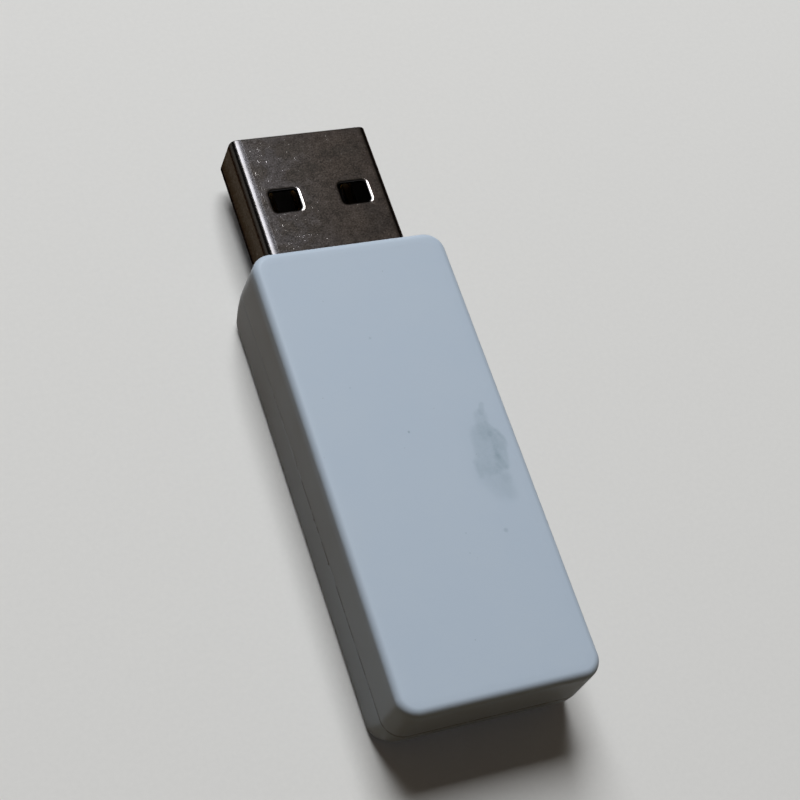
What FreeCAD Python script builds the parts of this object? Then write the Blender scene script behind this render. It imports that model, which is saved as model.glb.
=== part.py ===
import FreeCAD, Part
import math
import os

# A small radio receiver that plugs into a computer. All sizes are in millimetres.
# X runs across, Y along the plug towards its tip, and Z up. The origin lies on the flat
# underside, below the middle of the whole part.

# housing: two moulded covers that meet at a level parting line
body_width = 16.5
body_length = 39.1
body_thickness = 8.0
parting_height = 3.6
end_lean_top = 0.3
end_tuck_bottom = 1.05
corner_radius = 1.65
top_edge_radius = 0.45
bottom_edge_radius = 0.7
wall = 1.0
seam_bevel = 0.07
lip_thickness = 0.45
lip_height = 0.8
lip_setback = 0.1
cover_gap = 0.05

# plug: a folded sheet sleeve round a moulded tongue
plug_width = 12.0
plug_height = 4.5
plug_reach = 11.7
plug_seat = 6.8
plug_centre_height = 4.0
sheet = 0.3
bend_radius = 0.65
tip_bevel = 0.1
window_width = 2.75
window_length = 2.1
window_pitch = 6.1
window_setback = 5.2
window_corner = 0.35
slit = 0.06
dovetail_neck = 1.3
dovetail_head = 2.0
dovetail_depth = 1.1
dovetail_front = 3.2
dovetail_rear = 12.6
lance_width = 1.2
lance_length = 1.5
lance_drop = 0.25
lance_gap = 0.15
lance_offset = 2.6
lance_place = 3.4
opening_gap = 0.05

# ears and legs at the back of the sleeve, which hold it on the board
ear_length = 2.6
ear_height = 1.5
leg_width = 1.0
leg_setback = 1.0
leg_below_board = 0.5
leg_taper = 0.25
leg_gap = 0.1

# tongue and contacts
tongue_thickness = 1.95
tongue_setback = 0.4
tongue_bevel = 0.35
mouth_depth = 11.9
relief_depth = 0.4
contact_width = 1.0
contact_thickness = 0.25
contact_inner_offset = 1.0
contact_outer_offset = 3.5
long_contact_setback = 1.3
short_contact_setback = 2.3
contact_drop = 0.25
tail_setback = 0.2
tail_run = 0.8
tail_length = 1.8

# circuit board
board_thickness = 0.8
board_side_gap = 0.3
board_rear_gap = 0.4
board_corner = 0.8
pin_radius = 0.75
pin_gap = 0.05
pin_bevel = 0.2
pin_above_board = 0.6
pin_shoulder = 0.5
pin_clearance = 0.25
pin_rear_setback = 3.4
pin_side_inset = 1.8

# snap hooks and ribs inside the covers; a place is measured back from the board's front edge
hook_length = 3.0
hook_thickness = 0.65
hook_front_place = 7.6
hook_rear_place = 22.5
hook_root_height = 1.1
barb_height = 0.7
barb_nose = 0.25
barb_reach = 0.3
barb_root = 0.1
barb_below_parting = 1.0
barb_gap = 0.1
notch_gap = 0.2
rib = 0.8
rib_reach = 1.3
clamp_front_place = 11.0
clamp_rear_place = 17.6
cradle_front = 1.6
cradle_rear = 4.7
stop_above_contacts = 0.6
stop_side_inset = 1.0
rear_ledge_inset = 1.2

# parts on the board; a size is a width, a length and a height
row_gap = 0.25
part_gap = 0.3
fuse_size = (1.6, 3.2, 0.65)
fuse_clearance = 0.5
bead_size = (1.25, 2.0, 0.9)
bead_across = 4.3
protector_across = 0.6
regulator_across = 4.0
regulator_shift = -0.9
small_size = (2.9, 1.6, 1.0)
small_pitch = 0.95
small_span = 2.8
memory_size = (4.9, 3.9, 1.45)
memory_across = -1.4
memory_pitch = 1.27
memory_span = 6.0
memory_bevel = 0.2
lead_width = 0.4
lead_thickness = 0.15
lead_root = 0.1
knee_share = 0.45
lead_level_share = 0.4
chip_lift = 0.1
foot_length = 0.45
end_cap_share = 0.25
end_cap_growth = 0.03
large_capacitor = (0.8, 1.6, 0.8)
large_capacitor_shift = 2.1
large_capacitor_across = [2.4, 4.6]
small_capacitor = (0.5, 1.0, 0.5)
resistor = (0.5, 1.0, 0.35)
resistor_step = 1.6
side_resistor_gap = 1.1

# shield lid, and what is under it
can_width = 10.0
can_length = 10.0
can_height = 1.8
can_sheet = 0.2
can_corner = 0.5
can_bend = 0.15
can_gap = 0.15
can_hole_radius = 0.4
can_hole_pitch_x = 2.6
can_hole_pitch_y = 3.4
can_notch_width = 1.5
can_notch_height = 0.3
can_notch_pitch = 3.0
radio_side = 5.0
radio_height = 0.85
radio_side_gap = 0.5
radio_mark_radius = 0.3
radio_mark_inset = 0.7
radio_mark_depth = 0.05
radio_pad_width = 0.22
radio_pad_length = 0.4
radio_pad_pitch = 0.5
radio_pad_count = 8
radio_pad_thickness = 0.05
crystal_width = 2.5
crystal_length = 3.2
crystal_height = 0.7
crystal_lid_inset = 0.2
crystal_lid_height = 0.25
crystal_corner = 0.3
under_can_across = [0.6, 1.9]
under_can_step = 1.3

# antenna at the board's far end, with its coils beside it
coil = (0.5, 1.0, 0.5)
coil_count = 3
coil_step = 1.2
coil_side_gap = 1.2
track_width = 0.5
track_thickness = 0.035
track_pitch = 1.4
track_length = 3.4
track_margin = 0.9
track_start = -4.1

# solder
joint_length = 0.4
joint_height = 0.2
joint_side = 0.3
joint_tip = 0.1

# how near two places have to be to count as the same, and how far a cut runs past its piece
close = 0.001
past = 1.0

# places that follow from the sizes above
overall_length = body_length + plug_reach
tip = overall_length / 2
front = tip - plug_reach
rear = front - body_length
half_width = body_width / 2
top_height = body_thickness - parting_height
bow_radius = (parting_height ** 2 + end_tuck_bottom ** 2) / (2 * end_tuck_bottom)
root = wall / 2
sleeve_back = front - plug_seat
plug_floor = plug_centre_height - plug_height / 2
plug_roof = plug_centre_height + plug_height / 2
tongue_floor = plug_floor + sheet
tongue_top = tongue_floor + tongue_thickness
contact_underside = tongue_top - contact_thickness
board_top = contact_underside - contact_drop
board_bottom = board_top - board_thickness
board_front = sleeve_back
board_rear = rear + wall + board_rear_gap
board_half_width = half_width - wall - board_side_gap
cavity_half_width = half_width - wall
cavity_floor = wall
cavity_roof = body_thickness - wall
stop_half_width = plug_width / 2 - stop_side_inset
lip_top = parting_height + lip_height
lip_inset = wall - lip_setback - lip_thickness
pin_across = board_half_width - pin_side_inset
track_far = board_rear + track_margin
track_near = track_far + track_length

# rows of parts on the board; each is a distance back from the board's front edge
power_row = tail_length + joint_length + row_gap + fuse_size[1] / 2 + end_cap_growth
memory_row = power_row + fuse_size[1] / 2 + end_cap_growth + row_gap + memory_span / 2
can_row = memory_row + memory_span / 2 + row_gap + can_length / 2
can_inner_length = can_length / 2 - can_sheet - can_gap
can_inner_width = can_width / 2 - can_sheet - can_gap
can_front_row = can_row - can_inner_length + small_capacitor[1] / 2 + end_cap_growth
can_rear_row = can_row + can_inner_length - small_capacitor[1] / 2 - end_cap_growth
crystal_row = can_row - radio_side / 2 + crystal_length / 2


def box(x0, x1, y0, y1, z0, z1):
    corner = FreeCAD.Vector(min(x0, x1), min(y0, y1), min(z0, z1))
    return Part.makeBox(abs(x1 - x0), abs(y1 - y0), abs(z1 - z0), corner)


def fuse_all(shapes):
    return shapes[0].multiFuse(shapes[1:]).removeSplitter() if len(shapes) > 1 else shapes[0]


def spans(edge, axis):
    # the length of an edge's box along one axis
    bounds = edge.BoundBox
    return {"x": bounds.XLength, "y": bounds.YLength, "z": bounds.ZLength}[axis]


def edges_along(shape, axis):
    # straight edges that run along one axis only
    others = [name for name in "xyz" if name != axis]
    found = []
    for edge in shape.Edges:
        if spans(edge, axis) > close and all(spans(edge, name) < close for name in others):
            found.append(edge)
    return found


def edges_at_height(shape, height):
    found = []
    for edge in shape.Edges:
        bounds = edge.BoundBox
        if abs(bounds.ZMin - height) < close and abs(bounds.ZMax - height) < close:
            found.append(edge)
    return found


def rounded_box(x0, x1, y0, y1, z0, z1, radius, axis="z"):
    block = box(x0, x1, y0, y1, z0, z1)
    return block.makeFillet(radius, edges_along(block, axis))


def mirrored(shape):
    # the same shape on the other side of the middle plane
    return shape.mirror(FreeCAD.Vector(0, 0, 0), FreeCAD.Vector(1, 0, 0))


# The housing's ends lean in by a little up to the top face, in a straight line, and are bowed
# in by more towards the underside, where the end is upright at the parting line.
def end_depth(level, up):
    if up:
        return end_lean_top * level / top_height
    return bow_radius - math.sqrt(bow_radius ** 2 - level ** 2)


def half_block(inset, up, bowed):
    # one half of the housing as a block with sharp corners, in from the outside by the inset
    height = (top_height if up else parting_height) - inset
    side = 1 if up else -1
    edge = half_width - inset

    def point(end, level):
        depth = inset + end_depth(level, up)
        along = front - depth if end == "front" else rear + depth
        return FreeCAD.Vector(-edge, along, parting_height + side * level)

    edges = [Part.makeLine(point("front", level), point("rear", level)) for level in (0, height)]
    for end in ("front", "rear"):
        if bowed:
            edges.append(Part.Arc(point(end, 0), point(end, height / 2), point(end, height)).toShape())
        else:
            edges.append(Part.makeLine(point(end, 0), point(end, height)))
    face = Part.Face(Part.Wire(Part.__sortEdges__(edges)))
    return face.extrude(FreeCAD.Vector(2 * edge, 0, 0))


def upright_edges(block):
    found = []
    for edge in block.Edges:
        if spans(edge, "x") < close and spans(edge, "z") > spans(edge, "y"):
            found.append(edge)
    return found


def outer_half(up):
    block = half_block(0, up, not up)
    block = block.makeFillet(corner_radius, upright_edges(block))
    far = body_thickness if up else 0
    edge_radius = top_edge_radius if up else bottom_edge_radius
    block = block.makeFillet(edge_radius, edges_at_height(block, far))
    return block.makeChamfer(seam_bevel, edges_at_height(block, parting_height))


def cavity_half(up):
    block = half_block(wall, up, False)
    return block.makeFillet(corner_radius - wall, upright_edges(block))


def outline_prism(inset, z0, z1):
    # an upright block with the housing's plan at the parting line, in by the inset
    edge = half_width - inset
    return rounded_box(-edge, edge, rear + inset, front - inset, z0, z1, corner_radius - inset)


def plug_prism(growth, y0, y1):
    x = plug_width / 2 + growth
    z0 = plug_floor - growth
    z1 = plug_roof + growth
    return rounded_box(-x, x, y0, y1, z0, z1, bend_radius + growth, "y")


def plug_opening():
    return plug_prism(opening_gap, front - wall - past, front + past)


def back_by(distance):
    # a place along the part, measured back from the board's front edge
    return board_front - distance


def hook_places():
    return [back_by(hook_front_place), back_by(hook_rear_place)]


def clamp_places():
    return [back_by(clamp_front_place), back_by(clamp_rear_place)]


def cradle_places():
    return [front - wall - cradle_front, front - wall - cradle_rear]


def pin_places():
    beside_ear = back_by(ear_length + pin_clearance + pin_radius)
    return [(-pin_across, beside_ear), (pin_across, board_rear + pin_rear_setback)]


def lip_space():
    # room in the upper cover for the lower cover's lip, with a small gap round it
    top = lip_top + cover_gap
    room = outline_prism(lip_inset - cover_gap, board_top - past, top)
    core = outline_prism(wall + cover_gap, board_top - 2 * past, top + past)
    return room.cut(core)


def top_ribs():
    ribs = []
    high = cavity_roof + root
    # ribs that press the board down on the lower cover's ledges
    for y in clamp_places():
        inner = cavity_half_width - rib_reach
        ribs.append(box(inner, half_width - root, y - rib / 2, y + rib / 2, board_top, high))
    ribs.extend([mirrored(shape) for shape in list(ribs)])
    # ribs that hold the sleeve down
    for y in cradle_places():
        side = half_width - root
        ribs.append(box(-side, side, y, y - rib, lip_top + cover_gap, high))
    return ribs


def sleeve_stop():
    # a wall behind the sleeve, above the contacts' tails
    low = tongue_top + stop_above_contacts
    return box(-stop_half_width, stop_half_width, sleeve_back, sleeve_back - rib, low, cavity_roof + root)


def hook(y):
    # a springy tab on the upper cover, with a barb that catches in the lower cover's wall
    outer = cavity_half_width - cover_gap
    inner = outer - hook_thickness
    y0 = y - hook_length / 2
    catch = parting_height - barb_below_parting
    low = catch - barb_height
    root_low = lip_top + 2 * cover_gap
    root_top = root_low + hook_root_height
    plate = box(inner, outer, y0, y0 + hook_length, low, root_top)
    foot = box(inner, half_width - root, y0, y0 + hook_length, root_low, root_top)
    nose = cavity_half_width + barb_reach
    points = [
        (outer - barb_root, low),
        (outer, low),
        (nose, catch - barb_nose),
        (nose, catch),
        (outer - barb_root, catch),
    ]
    barb = side_prism(points, y0, y0 + hook_length)
    return fuse_all([plate, foot, barb])


def side_prism(points, y0, y1):
    # a block with an outline in X and Z
    corners = [FreeCAD.Vector(x, y0, z) for x, z in points]
    face = Part.Face(Part.makePolygon(corners + corners[:1]))
    return face.extrude(FreeCAD.Vector(0, y1 - y0, 0))


def length_prism(points, x0, x1):
    # a block with an outline in Y and Z
    corners = [FreeCAD.Vector(x0, y, z) for y, z in points]
    face = Part.Face(Part.makePolygon(corners + corners[:1]))
    return face.extrude(FreeCAD.Vector(x1 - x0, 0, 0))


def top_cover():
    skin = outer_half(True)
    hollow = cavity_half(True)
    shell = skin.cut([hollow, plug_opening()])
    ribs = [shape.cut([lip_space(), plug_prism(0, rear, tip)]) for shape in top_ribs()]
    ribs.append(sleeve_stop())
    hooks = [hook(y) for y in hook_places()]
    hooks.extend([mirrored(shape) for shape in list(hooks)])
    return shell.cut([lip_space()]).multiFuse(ribs + hooks)


def barb_pockets():
    pockets = []
    catch = parting_height - barb_below_parting
    low = catch - barb_height - barb_gap
    inner = cavity_half_width - barb_root
    outer = cavity_half_width + barb_reach + barb_gap
    for y in hook_places():
        y0 = y - hook_length / 2 - barb_gap
        pockets.append(box(inner, outer, y0, y0 + hook_length + 2 * barb_gap, low, catch))
    return pockets + [mirrored(shape) for shape in pockets]


def bottom_ribs():
    ribs = []
    under = cavity_floor - root
    side = half_width - root
    # ledges below the pressing ribs
    for y in clamp_places():
        inner = cavity_half_width - rib_reach
        ribs.append(box(inner, side, y - rib / 2, y + rib / 2, under, board_bottom))
    ribs.extend([mirrored(shape) for shape in list(ribs)])
    # cradle below and beside the sleeve
    for y in cradle_places():
        ribs.append(box(-side, side, y, y - rib, under, parting_height))
    # ledges under the board's two ends
    x = stop_half_width
    ribs.append(box(-x, x, board_front, board_front - rib, under, board_bottom))
    x = board_half_width - stop_side_inset
    y = board_rear + rear_ledge_inset
    ribs.append(box(-x, x, y, y - rib, under, board_bottom))
    return ribs


def locating_pin(x, y):
    # a round pin through the board, on a square post that the board rests on
    under = cavity_floor - root
    half = pin_radius + pin_shoulder
    post = box(x - half, x + half, y - half, y + half, under, board_bottom)
    top = board_top + pin_above_board
    pin = Part.makeCylinder(pin_radius, top - under, FreeCAD.Vector(x, y, under))
    pin = pin.makeChamfer(pin_bevel, edges_at_height(pin, top))
    return fuse_all([post, pin])


def bottom_cover():
    skin = outer_half(False)
    shell = skin.cut([cavity_half(False)])
    lip = outline_prism(lip_inset, parting_height - root, lip_top)
    lip = lip.cut(outline_prism(lip_inset + lip_thickness, parting_height - wall, lip_top + past))
    ribs = [shape.cut(plug_prism(0, rear, tip)).common(skin) for shape in bottom_ribs()]
    pins = [locating_pin(x, y) for x, y in pin_places()]
    cover = shell.multiFuse([lip] + ribs + pins)
    return cover.cut([plug_opening()] + barb_pockets())


def window(x, z0, z1):
    y1 = tip - window_setback
    half = window_width / 2
    return rounded_box(x - half, x + half, y1 - window_length, y1, z0, z1, window_corner)


def windows(z0, z1):
    return [window(side * window_pitch / 2, z0, z1) for side in (-1, 1)]


def slit_tool():
    # the butt joint of the folded sheet: a fine slit with two dovetail keys in it
    spread = (dovetail_head - dovetail_neck) / 2

    def side_line(shift):
        points = [(shift, tip + past)]
        for distance in (dovetail_front, dovetail_rear):
            near = tip - distance
            far = near - dovetail_head
            points.append((shift, near - spread + shift))
            points.append((dovetail_depth + shift, near + shift))
            points.append((dovetail_depth + shift, far - shift))
            points.append((shift, far + spread - shift))
        points.append((shift, sleeve_back - past))
        return points

    outline = side_line(-slit / 2) + list(reversed(side_line(slit / 2)))
    corners = [FreeCAD.Vector(x, y, plug_floor - past) for x, y in outline]
    face = Part.Face(Part.makePolygon(corners + corners[:1]))
    return face.extrude(FreeCAD.Vector(0, 0, past + 2 * sheet))


def leg():
    # an ear that runs back from the sleeve's side wall, with a leg down through the board
    outer = plug_width / 2
    ear_front = sleeve_back + sheet
    ear_back = sleeve_back - ear_length
    ear_top = board_top + ear_height
    leg_front = sleeve_back - leg_setback
    leg_back = leg_front - leg_width
    low = board_bottom - leg_below_board
    points = [
        (ear_front, board_top),
        (leg_front, board_top),
        (leg_front, low + leg_taper),
        (leg_front - leg_taper, low),
        (leg_back + leg_taper, low),
        (leg_back, low + leg_taper),
        (leg_back, board_top),
        (ear_back, board_top),
        (ear_back, ear_top),
        (ear_front, ear_top),
    ]
    return length_prism(points, outer - sheet, outer)


def lances():
    # two tabs cut out of the sleeve's upper wall inside the housing and bent down into the block
    hinge = sleeve_back + lance_place
    free = hinge - lance_length
    low = plug_roof - sheet
    points = [(hinge, plug_roof), (free, plug_roof - lance_drop), (free, low - lance_drop), (hinge, low)]
    slot_low = low - lance_drop - cover_gap
    tabs = []
    slots = []
    for x in (-lance_offset, lance_offset):
        half = lance_width / 2
        room = half + lance_gap
        tabs.append(length_prism(points, x - half, x + half))
        slots.append(box(x - room, x + room, free - lance_gap, hinge, slot_low, plug_roof + past))
    return tabs, slots


def plug_shell():
    outside = plug_prism(0, sleeve_back, tip)
    rim = [edge for edge in outside.Edges if abs(edge.BoundBox.YMin - tip) < close]
    outside = outside.makeChamfer(tip_bevel, rim)
    inside = plug_prism(-sheet, sleeve_back - past, tip + past)
    holes = windows(plug_floor - past, plug_roof + past)
    tabs, slots = lances()
    sleeve = outside.cut([inside, slit_tool()] + holes + slots)
    legs = [leg(), mirrored(leg())]
    return sleeve.multiFuse(legs + tabs).removeSplitter()


def contact_offsets():
    return [-contact_outer_offset, -contact_inner_offset, contact_inner_offset, contact_outer_offset]


def contact_front(offset):
    outer = abs(abs(offset) - contact_outer_offset) < close
    return tip - (long_contact_setback if outer else short_contact_setback)


def contact(offset):
    # a flat strip along the tongue, with a tail that steps down to the board
    start = contact_front(offset)
    bend = sleeve_back - tail_setback
    foot = bend - tail_run
    end = sleeve_back - tail_length
    nose = contact_thickness / 2
    points = [
        (start, contact_underside),
        (start, tongue_top - nose),
        (start - nose, tongue_top),
        (bend, tongue_top),
        (foot, board_top + contact_thickness),
        (end, board_top + contact_thickness),
        (end, board_top),
        (foot, board_top),
        (bend, contact_underside),
    ]
    return length_prism(points, offset - contact_width / 2, offset + contact_width / 2)


def contact_groove(offset):
    half = contact_width / 2
    back = sleeve_back - past
    return box(offset - half, offset + half, back, contact_front(offset), contact_underside, tongue_top)


def plug_insulator():
    tongue_end = tip - tongue_setback
    block = plug_prism(-sheet, sleeve_back, tongue_end)
    mouth = box(-plug_width, plug_width, tip - mouth_depth, tip + past, tongue_top, plug_roof)
    slope = [
        (tongue_end, tongue_top - tongue_bevel),
        (tongue_end, tongue_top),
        (tongue_end - tongue_bevel, tongue_top),
    ]
    lead_in = length_prism(slope, -plug_width, plug_width)
    reliefs = windows(tongue_floor - past, tongue_floor + relief_depth)
    grooves = [contact_groove(offset) for offset in contact_offsets()]
    tabs, pockets = lances()
    return block.cut([mouth, lead_in] + reliefs + grooves + pockets)


def board_notch(y):
    inner = cavity_half_width - cover_gap - hook_thickness - notch_gap
    y0 = y - hook_length / 2 - notch_gap
    y1 = y + hook_length / 2 + notch_gap
    return box(inner, half_width, y0, y1, board_bottom - past, board_top + past)


def leg_slot():
    outer = plug_width / 2 + leg_gap
    inner = plug_width / 2 - sheet - leg_gap
    y1 = sleeve_back - leg_setback + leg_gap
    y0 = sleeve_back - leg_setback - leg_width - leg_gap
    return box(inner, outer, y0, y1, board_bottom - past, board_top + past)


def circuit_board():
    plate = rounded_box(-board_half_width, board_half_width, board_rear, board_front,
                        board_bottom, board_top, board_corner)
    cuts = [board_notch(y) for y in hook_places()] + [leg_slot()]
    cuts.extend([mirrored(shape) for shape in list(cuts)])
    for x, y in pin_places():
        place = FreeCAD.Vector(x, y, board_bottom - past)
        cuts.append(Part.makeCylinder(pin_radius + pin_gap, board_thickness + 2 * past, place))
    return plate.cut(cuts)


def on_board(spot, size, lift=0):
    # a plain block on the board, given by its middle and by how far back it lies
    x, distance = spot
    width, length, height = size
    y = back_by(distance)
    low = board_top + lift
    return box(x - width / 2, x + width / 2, y - length / 2, y + length / 2, low, low + height)


def chip_with_ends(spot, size):
    # a ceramic block with a slightly larger metal cap on each end
    x, distance = spot
    width, length, height = size
    y = back_by(distance)
    body = box(x - width / 2, x + width / 2, y - length / 2, y + length / 2,
               board_top + end_cap_growth, board_top + height)
    cap_length = length * end_cap_share
    half = width / 2 + end_cap_growth
    top = board_top + height + end_cap_growth
    parts = [body]
    for side in (-1, 1):
        end = y + side * (length / 2 + end_cap_growth)
        parts.append(box(x - half, x + half, end, end - side * cap_length, board_top, top))
    return fuse_all(parts)


def lead(x, body_edge, out, middle, direction):
    # one gull-wing lead: out of the body, down and along the board
    inside = body_edge - direction * lead_root
    heel = body_edge + direction * (out - foot_length)
    knee = body_edge + direction * (out - foot_length) * knee_share
    toe = body_edge + direction * out
    step = direction * lead_thickness
    points = [
        (inside, middle),
        (knee, middle),
        (heel - step / 2, board_top),
        (toe, board_top),
        (toe, board_top + lead_thickness),
        (heel + step / 2, board_top + lead_thickness),
        (knee + step, middle + lead_thickness),
        (inside, middle + lead_thickness),
    ]
    return length_prism(points, x - lead_width / 2, x + lead_width / 2)


def leaded_chip(spot, size, pitch, span, front_slots, back_slots):
    # a moulded block with leads on its two long sides; a slot is counted in pitches from the middle
    x, distance = spot
    width, length, height = size
    y = back_by(distance)
    thickness = height - chip_lift
    body = on_board(spot, (width, length, thickness), chip_lift)
    middle = board_top + chip_lift + thickness * lead_level_share
    out = (span - length) / 2
    parts = [body]
    for direction, slots in ((1, front_slots), (-1, back_slots)):
        for slot in slots:
            parts.append(lead(x + slot * pitch, y + direction * length / 2, out, middle, direction))
    return fuse_all(parts)


def memory_chip():
    slots = [-1.5, -0.5, 0.5, 1.5]
    spot = (memory_across, memory_row)
    chip = leaded_chip(spot, memory_size, memory_pitch, memory_span, slots, slots)
    width, length, height = memory_size
    top = board_top + height
    edge = back_by(memory_row) - length / 2
    slope = [(edge, top - memory_bevel), (edge, top), (edge + memory_bevel, top)]
    return chip.cut(length_prism(slope, memory_across - width, memory_across + width))


def voltage_regulator():
    spot = (regulator_across, memory_row + regulator_shift)
    return leaded_chip(spot, small_size, small_pitch, small_span, [-1, 1], [-1, 0, 1])


def surge_protector():
    spot = (protector_across, power_row)
    return leaded_chip(spot, small_size, small_pitch, small_span, [-1, 0, 1], [-1, 0, 1])


def input_fuse():
    # the fuse lies beside the front pin
    across = -pin_across + pin_radius + fuse_clearance + fuse_size[0] / 2 + end_cap_growth
    return chip_with_ends((across, power_row), fuse_size)


def ferrite_bead():
    return chip_with_ends((bead_across, power_row), bead_size)


def radio_spot():
    return (can_inner_width + can_gap - radio_side_gap - radio_side / 2, can_row)


def radio_chip():
    # a flat square package with a row of pads under each side and a round mark in one corner
    x, distance = radio_spot()
    y = back_by(distance)
    lift = radio_pad_thickness
    edge = radio_side / 2
    body = on_board(radio_spot(), (radio_side, radio_side, radio_height - lift), lift)
    inset = edge - radio_mark_inset
    mark_floor = board_top + radio_height - radio_mark_depth
    mark = Part.makeCylinder(radio_mark_radius, past, FreeCAD.Vector(x - inset, y + inset, mark_floor))
    half = radio_pad_width / 2
    top = board_top + lift
    pads = []
    for number in range(radio_pad_count):
        shift = (number - (radio_pad_count - 1) / 2) * radio_pad_pitch
        for side in (-1, 1):
            near = side * (edge - radio_pad_length)
            far = side * edge
            pads.append(box(x + shift - half, x + shift + half, y + near, y + far, board_top, top))
            pads.append(box(x + near, x + far, y + shift - half, y + shift + half, board_top, top))
    middle = edge - 2 * radio_pad_length
    pads.append(box(x - middle, x + middle, y - middle, y + middle, board_top, top))
    return fuse_all([body.cut(mark)] + pads)


def radio_crystal():
    # a flat metal box with a smaller lid, against the left side of the space under the shield
    x = -can_inner_width + crystal_width / 2
    y = back_by(crystal_row)
    base_height = crystal_height - crystal_lid_height
    base = on_board((x, crystal_row), (crystal_width, crystal_length, base_height))
    half_x = crystal_width / 2 - crystal_lid_inset
    half_y = crystal_length / 2 - crystal_lid_inset
    lid = rounded_box(x - half_x, x + half_x, y - half_y, y + half_y,
                      board_top + base_height, board_top + crystal_height, crystal_corner)
    return fuse_all([base, lid])


def shield_can():
    # a drawn lid with round holes, and a skirt with notches along its foot
    y = back_by(can_row)
    half_x = can_width / 2
    half_y = can_length / 2
    top = board_top + can_height
    outside = rounded_box(-half_x, half_x, y - half_y, y + half_y, board_top, top, can_corner)
    outside = outside.makeChamfer(can_bend, edges_at_height(outside, top))
    inner_x = half_x - can_sheet
    inner_y = half_y - can_sheet
    inside = rounded_box(-inner_x, inner_x, y - inner_y, y + inner_y,
                         board_top - past, top - can_sheet, can_corner - can_sheet)
    cuts = [inside]
    for row in (-0.5, 0.5):
        for column in (-1, 0, 1):
            place = FreeCAD.Vector(column * can_hole_pitch_x, y + row * can_hole_pitch_y, top - 2 * can_sheet)
            cuts.append(Part.makeCylinder(can_hole_radius, past, place))
    half = can_notch_width / 2
    low = board_top - past
    high = board_top + can_notch_height
    for step in (-1, 0, 1):
        shift = step * can_notch_pitch
        cuts.append(box(shift - half, shift + half, y - half_y - past, y + half_y + past, low, high))
        cuts.append(box(-half_x - past, half_x + past, y + shift - half, y + shift + half, low, high))
    return outside.cut(cuts)


def antenna_track():
    # a folded line of thin copper across the board's far end, as far as the pin beside it lets it go
    top = board_top + track_thickness
    room = pin_across - pin_radius - pin_clearance - track_width - track_start
    count = int(room / track_pitch) + 1
    bars = []
    for number in range(count):
        x = track_start + number * track_pitch
        bars.append(box(x, x + track_width, track_near, track_far, board_top, top))
        if number + 1 < count:
            edge = track_far if number % 2 else track_near - track_width
            bars.append(box(x, x + track_pitch + track_width, edge, edge + track_width, board_top, top))
    return fuse_all(bars)


def leg_joint(side):
    # solder round a leg where it comes out below the board, narrower away from the board
    x = side * (plug_width / 2 - sheet / 2)
    y = sleeve_back - leg_setback - leg_width / 2

    def outline(growth, height):
        half_x = sheet / 2 + growth
        half_y = leg_width / 2 + growth
        signs = ((-1, -1), (1, -1), (1, 1), (-1, 1), (-1, -1))
        return Part.makePolygon([FreeCAD.Vector(x + i * half_x, y + j * half_y, height) for i, j in signs])

    low = board_bottom - leg_below_board / 2
    joint = Part.makeLoft([outline(joint_tip, low), outline(joint_side, board_bottom)], True, True)
    return joint.cut([leg(), mirrored(leg())])


def solder_joints():
    joints = [leg_joint(side) for side in (-1, 1)]
    end = sleeve_back - tail_length
    half = contact_width / 2
    for offset in contact_offsets():
        wedge = [(end, board_top), (end, board_top + joint_height), (end - joint_length, board_top)]
        joints.append(length_prism(wedge, offset - half, offset + half))
    return Part.makeCompound(joints)


def group(spots, size):
    return [chip_with_ends(spot, size) for spot in spots]


def beside_memory(side, size, gap):
    # the middle of a small part that lies beside the memory chip, with a gap between them
    return memory_across + side * (memory_size[0] / 2 + gap + size[0] / 2 + end_cap_growth)


def capacitors():
    row = memory_row + large_capacitor_shift
    large = [(across, row) for across in large_capacitor_across]
    large.append((beside_memory(-1, large_capacitor, part_gap), row))
    small = [(under_can_across[0], can_front_row)]
    small.extend([(across, can_rear_row) for across in under_can_across])
    first = crystal_row + crystal_length / 2 + row_gap + small_capacitor[1] / 2 + end_cap_growth
    for column in (1, 2):
        across = -can_inner_width + column * under_can_step - small_capacitor[0]
        for row in (first, first + under_can_step):
            small.append((across, row))
    return Part.makeCompound(group(large, large_capacitor) + group(small, small_capacitor))


def resistors():
    spots = []
    for side, gap in ((-1, side_resistor_gap), (1, part_gap)):
        across = beside_memory(side, resistor, gap)
        for row in (memory_row - resistor_step, memory_row):
            spots.append((across, row))
    spots.append((under_can_across[1], can_front_row))
    spots.append((under_can_across[1] + under_can_step, can_rear_row))
    return Part.makeCompound(group(spots, resistor))


def antenna_coils():
    # a column of coils beside the first bar of the track
    across = track_start - coil_side_gap - coil[0] / 2
    first = board_front - track_near + coil[1] / 2 + end_cap_growth
    spots = [(across, first + number * coil_step) for number in range(coil_count)]
    return Part.makeCompound(group(spots, coil))


def save(shape, name):
    solids = shape.Solids
    result = solids[0] if len(solids) == 1 else Part.makeCompound(solids)
    result.exportStep("parts/" + name + ".step")
    print(name, len(solids), "solid", round(result.Volume, 3), "mm3", "valid", result.isValid())


def build():
    os.makedirs("parts", exist_ok=True)
    save(top_cover(), "top_cover")
    save(bottom_cover(), "bottom_cover")
    save(plug_shell(), "plug_shell")
    save(plug_insulator(), "plug_insulator")
    names = ["contact_power", "contact_data_minus", "contact_data_plus", "contact_ground"]
    for name, offset in zip(names, contact_offsets()):
        save(contact(offset), name)
    save(circuit_board(), "circuit_board")
    save(solder_joints(), "solder_joints")
    save(shield_can(), "shield_can")
    save(radio_chip(), "radio_chip")
    save(radio_crystal(), "radio_crystal")
    save(memory_chip(), "memory_chip")
    save(voltage_regulator(), "voltage_regulator")
    save(surge_protector(), "surge_protector")
    save(input_fuse(), "input_fuse")
    save(ferrite_bead(), "ferrite_bead")
    save(capacitors(), "capacitors")
    save(resistors(), "resistors")
    save(antenna_coils(), "antenna_coils")
    save(antenna_track(), "antenna_track")


build()
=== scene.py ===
import math
import bpy
import numpy as np
from mathutils import Matrix


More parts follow.
